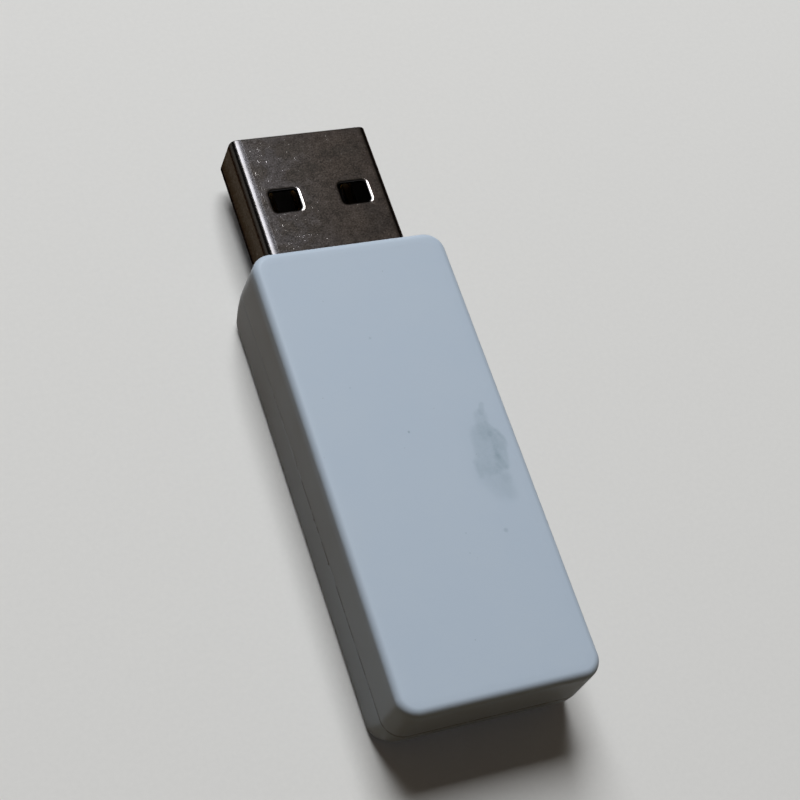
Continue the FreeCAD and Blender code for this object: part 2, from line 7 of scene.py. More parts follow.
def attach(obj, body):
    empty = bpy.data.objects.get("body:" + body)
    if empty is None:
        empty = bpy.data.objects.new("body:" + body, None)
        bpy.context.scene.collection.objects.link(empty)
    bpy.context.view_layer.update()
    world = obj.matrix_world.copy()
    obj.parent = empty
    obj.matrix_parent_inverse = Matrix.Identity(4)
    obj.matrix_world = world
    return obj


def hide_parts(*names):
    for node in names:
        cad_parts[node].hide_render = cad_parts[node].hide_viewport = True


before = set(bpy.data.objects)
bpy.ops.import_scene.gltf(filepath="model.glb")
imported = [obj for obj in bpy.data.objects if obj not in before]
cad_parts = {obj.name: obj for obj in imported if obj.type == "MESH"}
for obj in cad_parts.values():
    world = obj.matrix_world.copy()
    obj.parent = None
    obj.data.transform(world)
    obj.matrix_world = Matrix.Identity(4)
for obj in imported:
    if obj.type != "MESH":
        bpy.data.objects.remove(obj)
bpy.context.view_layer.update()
mm = 0.001
addToScene = bpy.context.scene.collection.objects.link


class Look(dict):
    # a dictionary whose values can also be read as look.name

    def __getattr__(self, name):
        return self[name]


class Wire:
    # wraps one output socket, so that a sum written on it adds its Math node

    def __init__(self, paint, socket):
        self.paint = paint
        self.socket = socket

    def __add__(self, other):
        return self.paint.maths("ADD", self, other)

    def __sub__(self, other):
        return self.paint.maths("SUBTRACT", self, other)

    def __rsub__(self, other):
        return self.paint.maths("SUBTRACT", other, self)

    def __mul__(self, other):
        return self.paint.maths("MULTIPLY", self, other)

    def __truediv__(self, other):
        return self.paint.maths("DIVIDE", self, other)

    def __rtruediv__(self, other):
        return self.paint.maths("DIVIDE", other, self)

    def __abs__(self):
        return self.paint.maths("ABSOLUTE", self)

    __radd__ = __add__
    __rmul__ = __mul__


class Paint:
    # one material or world, with the few ways in which its nodes are made

    def __init__(self, owner):
        owner.use_nodes = True
        self.owner = owner
        self.tree = owner.node_tree
        self.shader = self.tree.nodes.get("Principled BSDF") or self.tree.nodes["Background"]

    def put(self, made, inlets):
        for name, value in inlets.items():
            if isinstance(value, Wire):
                self.tree.links.new(value.socket, made.inputs[name])
            else:
                made.inputs[name].default_value = value

    def node(self, kind, settings=None, inlets=None, outlet=0):
        made = self.tree.nodes.new(kind)
        for name, value in (settings or {}).items():
            setattr(made, name, value)
        self.put(made, inlets or {})
        return Wire(self, made.outputs[outlet])

    def maths(self, operation, first, second=0.5):
        return self.node("ShaderNodeMath", {"operation": operation}, {0: first, 1: second})

    def larger(self, first, second):
        return self.maths("MAXIMUM", first, second)

    def clamp(self, value):
        return self.node("ShaderNodeClamp", None, {"Value": value})

    def ramp(self, value, low, high, outLow=0.0, outHigh=1.0):
        inlets = {"Value": value, 1: low, 2: high, 3: outLow, 4: outHigh}
        return self.node("ShaderNodeMapRange", {"interpolation_type": "SMOOTHSTEP"}, inlets)

    def mixColour(self, share, first, second, blend="MIX"):
        inlets = {0: share, 6: first, 7: second}
        settings = {"data_type": "RGBA", "blend_type": blend}
        return self.node("ShaderNodeMix", settings, inlets, outlet=2)

    def over(self, share, tint, blend="MIX"):
        # lays a tint over the colour so far
        self.colour = self.mixColour(share, self.colour, tint, blend)

    def vector(self, operation, first, second=(0, 0, 0), outlet=0):
        inlets = {0: first, 1: second}
        return self.node("ShaderNodeVectorMath", {"operation": operation}, inlets, outlet)

    def millimetres(self, scale=(1, 1, 1)):
        # the piece's own coordinates, in millimetres, stretched where asked
        spot = self.node("ShaderNodeTexCoord", outlet="Object")
        return self.vector("MULTIPLY", spot, [1000 * value for value in scale])

    def parts(self, vector):
        first = self.node("ShaderNodeSeparateXYZ", None, {0: vector})
        return [Wire(self, socket) for socket in first.socket.node.outputs]

    def noise(self, vector, size, detail=3.0, coarse=0.5):
        # soft noise about 0.5 whose blots are about as wide as size
        inlets = {"Vector": vector, "Scale": 1 / size, "Detail": detail, "Roughness": coarse}
        return self.node("ShaderNodeTexNoise", None, inlets)

    def warped(self, vector, size, amount):
        # the coordinates pushed about by soft noise
        inlets = {"Vector": vector, "Scale": 1 / size, "Detail": 3.0}
        push = self.node("ShaderNodeTexNoise", None, inlets, "Color")
        push = self.vector("SUBTRACT", push, (0.5, 0.5, 0.5))
        return self.vector("ADD", vector, self.vector("MULTIPLY", push, amount))

    def cells(self, vector, size, outlet="Distance"):
        inlets = {"Vector": vector, "Scale": 1 / size}
        return self.node("ShaderNodeTexVoronoi", None, inlets, outlet)

    def upward(self):
        # 1 on level faces, 0 on upright ones
        return abs(self.parts(self.node("ShaderNodeNewGeometry", outlet="Normal"))[2])

    def edges(self, width, flat=0.995, sharp=0.9):
        # 1 on edges, by the cosine of how far a bevelled normal turns away from the real one
        bevel = self.node("ShaderNodeBevel", {"samples": 4}, {"Radius": width * mm})
        real = self.node("ShaderNodeNewGeometry", outlet="Normal")
        return self.ramp(self.vector("DOT_PRODUCT", bevel, real, outlet="Value"), flat, sharp)

    def give(self, roughness, height=None, **constants):
        # what varies goes in by links, and what doesn't is set on the shader's own sockets; the
        # height is in millimetres
        inlets = {"Base Color": self.colour, "Roughness": roughness}
        if height is not None:
            bump = {"Height": height, "Strength": 1.0, "Distance": mm}
            inlets["Normal"] = self.node("ShaderNodeBump", None, bump)
        inlets.update({name.replace("_", " "): value for name, value in constants.items()})
        self.put(self.shader, inlets)
        return self.owner


def newPaint(name, colour):
    # a fresh material of one colour, with the piece's coordinates in millimetres
    paint = Paint(bpy.data.materials.new(name))
    paint.colour = colour
    return paint, paint.millimetres()


def stood(thing, axes, place):
    # a camera or lamp with its own X, Y and Z along the axes
    addToScene(thing)
    matrix = Matrix(np.array(axes).T.tolist()).to_4x4()
    matrix.translation = place
    thing.matrix_world = matrix


# the camera stands where the photograph was taken from; lengths are in millimetres
cameraView = Look(
    place=(-58.195, -59.135, 135.163),
    right=(0.91085, -0.30884, 0.27380),
    down=(-0.15398, -0.86976, -0.46883),
    forward=(0.38293, 0.38488, -0.83978),
    focalPixels=1975.236,
    framePixels=800,
    sensor=36.0,
    nearest=5.0,
)


def makeCamera(look):
    camera = bpy.data.objects.new("camera", bpy.data.cameras.new("camera"))
    axes = np.array([look.right, look.down, look.forward]) * [[1], [-1], [-1]]
    stood(camera, axes, [value * mm for value in look.place])
    camera.data.sensor_width = look.sensor
    camera.data.lens = look.focalPixels / look.framePixels * look.sensor
    camera.data.clip_start = look.nearest * mm
    bpy.context.scene.camera = camera


makeCamera(cameraView)
bpy.context.scene.view_settings.view_transform = "Standard"
print("camera set")

# lengths in metres, but the floor's level in millimetres and the card's width in degrees
studio = Look(
    floorHalf=3.0, floorLevel=-0.02, floorColour=(0.71, 0.68, 0.635, 1),
    floorGrain=(0.4, 0.06), floorRoughness=0.9, floorBounce=(0.085, 0.056, 0.026, 1),
    floorHaze=(0.008, 0.012, 0.018, 1),
    keyDirection=(-0.01, 0.63, 0.775), keyDistance=0.9, keyWidth=0.42, keyDepth=0.56,
    keyPower=10.2, keyColour=(0.89, 0.94, 1.0),
    fill=(0.050, 0.035, 0.015, 1),
    dark=(0.018, 0.016, 0.014, 1),
    behind=(0.26, 0.25, 0.24, 1), behindFrom=(0.15, -0.45),
    card=(0.118, 0.106, 0.098, 1), cardDirection=(0.33, 0.49, 0.80), cardWidth=(26, 12),
    backdrop=(0.50, 0.49, 0.47, 1),
    horizon=(0.06, 0.16),
)


def seenDirectly(paint):
    # 1 for what the camera, a mirror or glass sees, 0 for light on its way between matt surfaces
    seen = [paint.node("ShaderNodeLightPath", outlet=name)
            for name in ("Is Camera Ray", "Is Glossy Ray", "Is Transmission Ray")]
    return paint.clamp(seen[0] + seen[1] + seen[2])


def unit(vector):
    return np.array(vector) / np.linalg.norm(vector)


def makeFloor(look):
    # a square sheet just under the part
    u, v = np.meshgrid([-1, 1], [-1, 1]) * np.array(look.floorHalf)
    corners = np.stack([u, v, np.full_like(u, look.floorLevel * mm)], -1).reshape(-1, 3)
    mesh = bpy.data.meshes.new("floor")
    mesh.from_pydata(corners.tolist(), [], [(0, 1, 3, 2)])
    floor = bpy.data.objects.new("floor", mesh)
    addToScene(floor)
    paint, spot = newPaint("floorPaper", look.floorColour)
    grainSize, grainDepth = look.floorGrain
    grain = paint.noise(spot, grainSize) * grainDepth + (1 - grainDepth / 2)
    paint.over(1.0, grain, "MULTIPLY")
    seen = seenDirectly(paint)
    paint.colour = paint.mixColour(seen, look.floorBounce, paint.colour)
    haze = paint.mixColour(seen, (0, 0, 0, 1), look.floorHaze)
    mesh.materials.append(paint.give(look.floorRoughness, Specular_IOR_Level=0.0,
                                     Emission_Color=haze, Emission_Strength=1.0))


def makeLamp(look):
    light = bpy.data.lights.new("keyLight", "AREA")
    light.shape = "RECTANGLE"
    light.size = look.keyWidth
    light.size_y = look.keyDepth
    light.energy = look.keyPower
    light.color = look.keyColour
    away = unit(look.keyDirection)
    side = -unit(np.cross([0, 0, 1], away))
    stood(bpy.data.objects.new("keyLight", light), [side, np.cross(away, side), away],
          (away * look.keyDistance).tolist())


def makeWorld(look):
    # mirrors see a pale horizon, a room that is dark in front and grey behind, and a dim card
    # overhead; matt surfaces get an even fill
    paint = Paint(bpy.data.worlds.new("studio"))
    bpy.context.scene.world = paint.owner
    direction = paint.node("ShaderNodeTexCoord", outlet="Generated")
    card = unit(look.cardDirection).tolist()
    toCard = paint.vector("DOT_PRODUCT", direction, card, outlet="Value")
    outer, inner = [math.cos(math.radians(angle)) for angle in look.cardWidth]
    _, y, z = paint.parts(direction)
    room = paint.mixColour(paint.ramp(y, *look.behindFrom), look.dark, look.behind)
    room = paint.mixColour(paint.ramp(toCard, outer, inner), room, look.card)
    room = paint.mixColour(paint.ramp(z, *look.horizon, 1.0, 0.0), room, look.backdrop)
    light = paint.mixColour(seenDirectly(paint), look.fill, room)
    paint.put(paint.shader, {"Color": light, "Strength": 1.0})


makeFloor(studio)
makeLamp(studio)
makeWorld(studio)
print("studio lit")

# every new piece is one or more grids of points in millimetres, made into closed meshes;
# points nearer than weldStep become one, and edges sharper than sharpDegrees stay sharp
weldStep = 1e-4
sharpDegrees = 32


def weldedFaces(points, faces):
    # points that lie together become one; a quad that falls flat becomes a triangle or goes
    keys = np.round(points / weldStep).astype(np.int64)
    _, first, place = np.unique(keys, axis=0, return_index=True, return_inverse=True)
    faces = place.reshape(-1)[faces]
    same = faces == np.roll(faces, -1, axis=1)
    crossed = (faces[:, 0] == faces[:, 2]) | (faces[:, 1] == faces[:, 3])
    quads = faces[(same.sum(1) == 0) & ~crossed]
    thin = (same.sum(1) == 1) & ~crossed
    order = (same[thin].argmax(1)[:, None] + np.arange(1, 4)) % 4
    triangles = np.take_along_axis(faces[thin], order, 1)
    return points[first], quads.tolist() + triangles.tolist()


def gridFaces(shape, wrapRows, wrapColumns):
    # the quads of a grid, as numbers of its points
    rows, columns = shape
    r, c = np.meshgrid(np.arange(rows - (not wrapRows)), np.arange(columns - (not wrapColumns)),
                       indexing="ij")
    r, c = r.ravel(), c.ravel()
    nextR, nextC = (r + 1) % rows, (c + 1) % columns
    return np.stack([r * columns + c, r * columns + nextC,
                     nextR * columns + nextC, nextR * columns + c], 1)


def solid(name, grids):
    # an object made of closed skins, each a grid of points with wrapRows and wrapColumns
    points, faces, count = [], [], 0
    for grid, wrapRows, wrapColumns in grids:
        flat = grid.reshape(-1, 3)
        cells = gridFaces(grid.shape[:2], wrapRows, wrapColumns)
        corners = flat[cells]
        across = np.cross(corners[:, 2] - corners[:, 0], corners[:, 3] - corners[:, 1])
        if np.einsum("ij,ij->", across, corners.mean(1)) < 0:
            cells = cells[:, ::-1]
        points.append(flat)
        faces.append(cells + count)
        count += len(flat)
    points, faces = weldedFaces(np.concatenate(points), np.concatenate(faces))
    mesh = bpy.data.meshes.new(name)
    mesh.from_pydata((points * mm).tolist(), [], faces)
    made = bpy.data.objects.new(name, mesh)
    addToScene(made)
    return made


def carve(piece, tool, operation):
    # joins the tool's solid to the piece, or cuts it out, and takes the tool away
    step = piece.modifiers.new(operation, "BOOLEAN")
    step.operation = operation
    step.solver = "EXACT"
    step.use_self = True
    step.object = tool
    depsgraph = bpy.context.evaluated_depsgraph_get()
    piece.data = bpy.data.meshes.new_from_object(piece.evaluated_get(depsgraph))
    piece.modifiers.clear()
    bpy.data.objects.remove(tool)


def quarterTurn(steps):
    return np.linspace(0, math.pi / 2, steps)


def stacked(rows):
    # closed outlines, one beyond the other, with both ends closed in to their middles
    first, last = rows[0].mean(0), rows[-1].mean(0)
    return np.array([0 * rows[0] + first] + rows + [0 * rows[-1] + last]), False, True


def bar(outline, y0, y1):
    # a closed outline in X and Z carried straight along Y, its ends closed in to its box's middle
    middle = (np.max(outline, 0) + np.min(outline, 0)) / 2
    rows = [np.insert(middle + share * (outline - middle), 1, y, axis=1)
            for y, share in ((y0, 0), (y0, 1), (y1, 1), (y1, 0))]
    return np.array(rows), False, True


def block(x0, x1, y0, y1, z0, z1):
    return bar([(x0, z0), (x1, z0), (x1, z1), (x0, z1)], y0, y1)


def turned(profile, x, y, steps=32):
    # a profile of radius and height carried round an upright line
    angle = np.linspace(0, 2 * math.pi, steps, endpoint=False)
    radius, height = np.array(profile).T
    return np.stack([x + radius[:, None] * np.cos(angle), y + radius[:, None] * np.sin(angle),
                     height[:, None] + 0 * angle], -1), False, True


def roundedOutline(halfWidth, low, high, corner, steps=8):
    # a rectangle in X and Z with quarter circles at its corners
    angle = np.concatenate([quarterTurn(steps) + n * math.pi / 2 for n in range(4)])
    right, top = np.repeat([1, -1, -1, 1], steps), np.repeat([1, 1, -1, -1], steps)
    x = right * (halfWidth - corner) + corner * np.cos(angle)
    z = (low + high) / 2 + top * ((high - low) / 2 - corner) + corner * np.sin(angle)
    return np.stack([x, z], 1)


def bothSides(*grids):
    # the solids and their mirror images
    return [(points * [side, 1, 1], wrapRows, wrapColumns)
            for points, wrapRows, wrapColumns in grids for side in (1, -1)]


housing = Look(
    halfWidth=8.25,
    front=13.7,
    rear=-25.4,
    parting=3.6,
    topHeight=4.4,
    bottomHeight=3.6,
    leanFront=0.14, leanRear=0.03,
    tuckBottom=1.05,
    corner=1.65,
    topEdge=0.63,
    bottomEdge=0.7,
    wall=1.0,
    seamRound=0.055,
    rebateInset=0.40, rebateHeight=0.85,
    lipInset=0.45, lipThickness=0.45, lipHeight=0.8,
    # points along the outline, then rows across the skin and how the flat face's rows gather
    sideSteps=56, endSteps=22, cornerSteps=12,
    wallSteps=7, roundSteps=8, seamSteps=4, flatSteps=9, cavitySteps=4,
    gathering=1.3,
)


def outlineColumns(look):
    # The outline's columns, once round from the +X side: each has a place between the corners'
    # middles, from -1 to 1 both ways, and a level direction outwards that turns at the corners.
    side = np.linspace(-1, 1, look.sideSteps, endpoint=False)
    end = np.linspace(-1, 1, look.endSteps, endpoint=False)
    turn = np.linspace(0, math.pi / 2, look.cornerSteps, endpoint=False)
    across, along, angle = [], [], []
    for quarter, run in enumerate((side, end, side, end)):
        c, s = round(math.cos(quarter * math.pi / 2)), round(math.sin(quarter * math.pi / 2))
        steps = np.concatenate([run, np.ones_like(turn)])
        across.append(c - s * steps)
        along.append(s + c * steps)
        angle.append(np.concatenate([np.zeros_like(run), turn]) + quarter * math.pi / 2)
    angle = np.concatenate(angle)
    return np.concatenate(across), np.concatenate(along), np.cos(angle), np.sin(angle)


def ring(columns, halfWidth, front, rear, corner, z):
    # a level rectangle whose corners are quarter circles
    across, along, outX, outY = columns
    x = across * (halfWidth - corner) + corner * outX
    y = (front + rear) / 2 + along * ((front - rear) / 2 - corner) + corner * outY
    return np.stack([x, y, z + 0 * x], 1)


def closedIn(row, columns, steps, gathering):
    # straight lines from the row to the middle line of its rectangle, closer together at first
    halfWidth, front, rear = row[:, 0].max(), row[:, 1].max(), row[:, 1].min()
    along = (front + rear) / 2 + columns[1] * ((front - rear) / 2 - halfWidth)
    target = np.stack([0 * row[:, 0], along, row[:, 2]], 1)
    share = np.linspace(0, 1, steps + 1)[1:] ** gathering
    return list(row + share[:, None, None] * (target - row))


def coverSkin(look, up):
    # Both skins of a cover as one closed surface: from the middle of the flat face over the rounded
    # edge, down the wall, round the seam's edge, over the rebate or lip, and along the cavity.
    columns = outlineColumns(look)
    along, outX, outY = columns[1:]
    facing = 1 if up else -1
    height = look["topHeight" if up else "bottomHeight"]
    edge = look["topEdge" if up else "bottomEdge"]
    bow = (height ** 2 + look.tuckBottom ** 2) / (2 * look.tuckBottom)
    slope = (look.leanRear + (look.leanFront - look.leanRear) * (1 + along) / 2) / height

    def depth(level):
        # how far the ends come in: a straight lean above the parting line, an arc below it
        return slope * level if up else bow - np.sqrt(bow ** 2 - level ** 2)

    def rim(level, inset, deep):
        # the outline at a level, with its sides set in by inset and its ends by deep
        return ring(columns, look.halfWidth - inset, look.front - deep, look.rear + deep,
                    look.corner - inset, look.parting + facing * level)

    def outer(level, inset=0.0):
        return rim(level, inset, depth(level) + inset)

    def outwards(level, rise):
        return np.stack([level * outX, level * outY, facing * rise], 1)

    if up:
        lean = np.sin(np.arctan(slope)) * abs(outY)
        start = height - edge + edge * lean
    else:
        start = (height - edge) / (1 - edge / bow * abs(outY))
        lean = start / bow * abs(outY)
    tilt = np.arcsin(lean)
    middle = outer(start) - edge * outwards(np.cos(tilt), lean)
    turns = [tilt + share * (math.pi / 2 - tilt)
             for share in np.linspace(0, 1, look.roundSteps + 1)]
    rounded = [middle + edge * outwards(np.cos(angle), np.sin(angle)) for angle in turns]
    seam, gathering = look.seamRound, look.gathering
    rows = closedIn(rounded[-1], columns, look.flatSteps, gathering)[::-1] + rounded[:0:-1]
    rows += [outer(seam + share * (start - seam))
             for share in np.linspace(1, 0, look.wallSteps + 1)]
    rows += [outer(seam - seam * math.sin(a), seam - seam * math.cos(a))
             for a in quarterTurn(look.seamSteps)[1:]]
    wall, roof, low = look.wall, height - look.wall, 0.0
    if up:
        low = look.rebateHeight
        steps = ((look.rebateInset, 0.0), (look.rebateInset, low))
    else:
        lipOut, lipLow = look.lipInset, -look.lipHeight
        lipIn = lipOut + look.lipThickness
        steps = ((lipOut, 0.0), (lipOut, lipLow), (lipIn, lipLow), (lipIn, 0.0))
    rows += [rim(level, inset, inset) for inset, level in steps]
    rows += [rim(level, wall, wall + depth(roof) * level / roof)
             for level in np.linspace(low, roof, look.cavitySteps)]
    rows += closedIn(rows[-1], columns, look.cavitySteps, gathering)
    return np.array(rows), False, True


# the openings in X and Z that the plug's sleeve takes up, and their ends along Y
plugHole = Look(halfWidth=6.05, low=1.70, high=6.30, corner=0.70, y=(11.7, 14.7))
sleeveRoom = Look(halfWidth=6.0, low=1.75, high=6.25, corner=0.65, y=(-25.4, 25.4))


def plugRoom(look):
    outline = roundedOutline(look.halfWidth, look.low, look.high, look.corner)
    return bar(outline, *look.y)


inside = Look(rib=0.8, clampX=(5.95, 7.75), clampY=(-4.1, -10.7),
              cradleX=(-7.75, 7.75), cradleY=(11.1, 8.0), hookY=(-0.7, -15.6))


def ribBlocks(look, clampZ, cradleZ):
    # ribs on both sides that clamp the board, and cradles right across that the sleeve lies in
    half = look.rib / 2
    ribs = [rib for y in look.clampY
            for rib in bothSides(block(*look.clampX, y - half, y + half, *clampZ))]
    return ribs + [block(*look.cradleX, y - look.rib, y, *cradleZ) for y in look.cradleY]


topInside = Look(
    clampZ=(3.5, 7.5),
    cradleZ=(4.45, 7.5),
    lipX=(7.2, 7.85), lipHalf=1.0, lipZ=(3.0, 4.45),
    stop=(-5.0, 5.0, 6.1, 6.9, 4.6, 7.5),
    hookHalf=1.5,
    plate=((6.55, 7.2), (1.9, 5.6)),
    foot=((6.55, 7.75), (4.5, 5.6)),
    barb=((7.1, 1.9), (7.2, 1.9), (7.55, 2.35), (7.55, 2.6), (7.1, 2.6)),
)


def makeTopCover(look, within):
    cover = solid("topCover", [coverSkin(look, True)])
    ribs = solid("ribs", ribBlocks(inside, within.clampZ, within.cradleZ))
    half = within.lipHalf
    rooms = bothSides(*[block(*within.lipX, y - half, y + half, *within.lipZ)
                        for y in inside.clampY])
    carve(ribs, solid("rooms", rooms + [plugRoom(sleeveRoom)]), "DIFFERENCE")
    carve(cover, ribs, "UNION")
    added, half = [block(*within.stop)], within.hookHalf
    for y in inside.hookY:
        parts = [block(*x, y - half, y + half, *z) for x, z in (within.plate, within.foot)]
        added += bothSides(*parts, bar(within.barb, y - half, y + half))
    carve(cover, solid("hooks", added), "UNION")
    carve(cover, solid("opening", [plugRoom(plugHole)]), "DIFFERENCE")
    return cover


bottomInside = Look(
    clampZ=(0.5, 2.7),
    cradleZ=(0.5, 3.6),
    ledges=((-5.0, 5.0, 6.1, 6.9), (-5.95, 5.95, -23.6, -22.8)),
    ledgeZ=(0.5, 2.7),
    pins=((-5.15, 3.3), (5.15, -20.6)),
    postHalf=1.25,
    pinProfile=((0, 0.5), (0.75, 0.5), (0.75, 3.9), (0.55, 4.1), (0, 4.1)),
    pocketX=(7.15, 7.65), pocketHalf=1.6, pocketZ=(1.8, 2.6),
)


def makeBottomCover(look, within):
    cover = solid("bottomCover", [coverSkin(look, False)])
    ledgeZ, post = within.ledgeZ, within.postHalf
    ribs = ribBlocks(inside, within.clampZ, within.cradleZ)
    ribs = solid("ribs", ribs + [block(*ledge, *ledgeZ) for ledge in within.ledges])
    carve(ribs, solid("sleeveRoom", [plugRoom(sleeveRoom)]), "DIFFERENCE")
    carve(cover, ribs, "UNION")
    pins = [block(x - post, x + post, y - post, y + post, *ledgeZ) for x, y in within.pins]
    pins += [turned(within.pinProfile, x, y) for x, y in within.pins]
    carve(cover, solid("pins", pins), "UNION")
    half = within.pocketHalf
    cuts = bothSides(*[block(*within.pocketX, y - half, y + half, *within.pocketZ)
                       for y in inside.hookY])
    carve(cover, solid("cuts", cuts + [plugRoom(plugHole)]), "DIFFERENCE")
    return cover


topCover = makeTopCover(housing, topInside)
bottomCover = makeBottomCover(housing, bottomInside)
print("covers made", len(topCover.data.polygons), len(bottomCover.data.polygons))


sleeve = Look(
    halfWidth=6.0,
    low=1.75,
    high=6.25,
    bend=0.93, bendSteps=20,
    sheet=0.3,
    back=6.9,
    tip=25.4, tipRound=0.11, tipSteps=5,
    windowX=3.03, windowHalf=(1.22, 1.02), windowY=19.15, windowCorner=0.35,
    windowRound=0.10, windowDish=(0.17, 0.029),
    dishEdge=0.17, dishShares=(0.33, 0.67, 1.0), dishPower=1.3,
    slit=0.06, slitPast=(1.0, 0.5, 0.3),
    keyPlaces=(3.2, 12.6), keyHead=2.0, keySlant=0.35, keyDepth=1.1,
    tabX=2.6, tabHalf=0.6, tabGap=0.15, tabY=(8.8, 10.3), tabDrop=0.25,
    tabPast=0.05, tabOverlap=0.02,
    earY=(4.3, 7.2), earZ=(3.5, 5.0),
    legY=(4.9, 5.9), legZ=(2.2, 3.6), legTaper=0.25,
)


def easyBend(reach, steps, fine=40):
    # A quarter bend whose turning starts and ends gently: its angle is a right angle times
    # t - sin(2 pi t) / (2 pi), and its line is the running sum, scaled to the reach.
    t = np.linspace(0, 1, fine * steps + 1)
    angle = math.pi / 2 * (t - np.sin(2 * math.pi * t) / (2 * math.pi))
    middle = (angle[1:] + angle[:-1]) / 2
    line = np.concatenate([[[0, 0]], np.cumsum(np.stack([-np.sin(middle), np.cos(middle)], 1), 0)])
    line *= reach / line[-1, 1]
    return line[::fine], angle[::fine]


def sleeveOutline(look):
    # once round in X and Z, with the direction outwards at each point
    line, angle = easyBend(look.bend, look.bendSteps)
    x0, z0 = look.halfWidth, (look.high - look.low) / 2 - look.bend
    corner = np.stack([x0 + line[:, 0], z0 + line[:, 1]], 1)
    out = np.stack([np.cos(angle), np.sin(angle)], 1)
    points, outs = [], []
    for mirror, order in (((1, 1), 1), ((-1, 1), -1), ((-1, -1), 1), ((1, -1), -1)):
        points.append((corner * mirror)[::order])
        outs.append((out * mirror)[::order])
    return np.concatenate(points) + [0, (look.high + look.low) / 2], np.concatenate(outs)


def windowTools(look):
    # rounded rectangles through the sheet; each wall ends in a small round and then a shallow dish,
    # as where a punch drags the outer face down with it
    (halfX, halfY), (wide, deep) = look.windowHalf, look.windowDish
    r, corner, top = look.windowRound, look.windowCorner, look.high
    turn = np.linspace(0, math.pi / 2 - look.dishEdge, 5)
    heights = [(top - 2 * look.sheet, 0.0)]
    heights += [(top - deep - r + r * math.sin(a), r - r * math.cos(a)) for a in turn]
    heights += [(top - deep * (1 - share) ** look.dishPower, r + wide * share)
                for share in look.dishShares]
    heights += [(top + look.sheet, r + wide)]
    rows = []
    for z, growth in heights:
        plan = roundedOutline(halfX + growth, -halfY - growth, halfY + growth, corner + growth, 7)
        rows.append(np.insert(plan + [look.windowX, look.windowY], 2, z, axis=1))
    upper = stacked(rows)
    lower = (upper[0] * [1, 1, -1] + [0, 0, look.high + look.low], False, True)
    return bothSides(upper, lower)


def slitTool(look):
    # the butt seam under the sleeve: a fine line with two dovetail keys, carried through the sheet
    past, below, above = look.slitPast
    slant, depth = look.keySlant, look.keyDepth

    def side(shift):
        line = [(shift, look.tip + past)]
        for place in look.keyPlaces:
            near = look.tip - place
            far = near - look.keyHead
            line += [(shift, near - slant + shift), (depth + shift, near + shift),
                     (depth + shift, far - shift), (shift, far + slant - shift)]
        return np.array(line + [(shift, look.back - past)])

    left, right = side(-look.slit / 2), side(look.slit / 2)
    low, high = look.low - below, look.low + look.sheet + above
    rows = [np.insert(line, 2, z, axis=1)
            for line, z in ((left, low), (right, low), (right, high), (left, high))]
    return stacked(list(np.stack(rows, 1)))


def makeSleeve(look):
    # the outline carried along the plug, round the tip's edge and back inside, as one closed sheet
    outline, out = sleeveOutline(look)
    r, sheet, tip, back = look.tipRound, look.sheet, look.tip, look.back
    turn = quarterTurn(look.tipSteps)
    path = [(back, 0)] + [(tip - r + r * math.sin(a), r - r * math.cos(a)) for a in turn]
    path += [(tip - r + r * math.cos(a), sheet - r + r * math.sin(a)) for a in turn]
    rows = [np.insert(outline - deep * out, 1, y, axis=1) for y, deep in path + [(back, sheet)]]
    made = solid("plugSleeve", [(np.array(rows), True, True)])
    half, gap, high, drop = look.tabHalf, look.tabGap, look.high, look.tabDrop
    (free, hinge), past, tabX = look.tabY, look.tabPast, (-look.tabX, look.tabX)
    slots = [block(x - half - gap, x + half + gap, free - gap, hinge,
                   high - sheet - drop - past, high + 1) for x in tabX]
    carve(made, solid("cuts", windowTools(look) + slots + [slitTool(look)]), "DIFFERENCE")
    hinge = hinge + look.tabOverlap
    bent = [(hinge, high - sheet), (hinge, high), (free, high - drop), (free, high - sheet - drop)]
    tabs = [stacked([np.insert(bent, 0, x + side, axis=1) for side in (-half, half)]) for x in tabX]
    walls, taper = (look.halfWidth - sheet, look.halfWidth), look.legTaper
    (y0, y1), (z0, z1) = look.legY, look.legZ
    leg = [(y0, z1), (y0, z0 + taper), (y0 + taper, z0),
           (y1 - taper, z0), (y1, z0 + taper), (y1, z1)]
    legs = stacked([np.insert(leg, 0, x, axis=1) for x in walls])
    ear = block(*walls, *look.earY, *look.earZ)
    carve(made, solid("tabs", tabs + bothSides(ear, legs)), "UNION")
    return made


plugSleeve = makeSleeve(sleeve)
print("sleeve made", len(plugSleeve.data.polygons))


tongue = Look(
    halfWidth=5.7,
    low=2.05,
    top=4.0,
    roof=5.95,
    corner=0.35,
    back=6.9,
    mouth=13.5,
    front=25.0,
    bevel=0.35,
    edge=0.06,
    grooveX=(-3.5, -1.0, 1.0, 3.5), grooveHalf=0.5, grooveLow=3.75,
    grooveFront=(24.1, 23.1, 23.1, 24.1),
    reliefDepth=0.4,
    pocketTop=8.0,
)


def tongueOutline(look, top, inset=0.0):
    # the block's outline in X and Z with small rounds above and larger ones below
    half, low, corner = look.halfWidth - inset, look.low + inset, look.corner
    upper = look.edge if top == look.top else corner
    rounds = ((half, top, upper), (-half, top, upper), (-half, low, corner), (half, low, corner))
    points = []
    for quarter, (x, z, r) in enumerate(rounds):
        angle = quarterTurn(6) + quarter * math.pi / 2
        points.append(np.stack([x - math.copysign(r, x) + r * np.cos(angle),
                                z + (r if quarter > 1 else -r) + r * np.sin(angle)], 1))
    return np.concatenate(points)


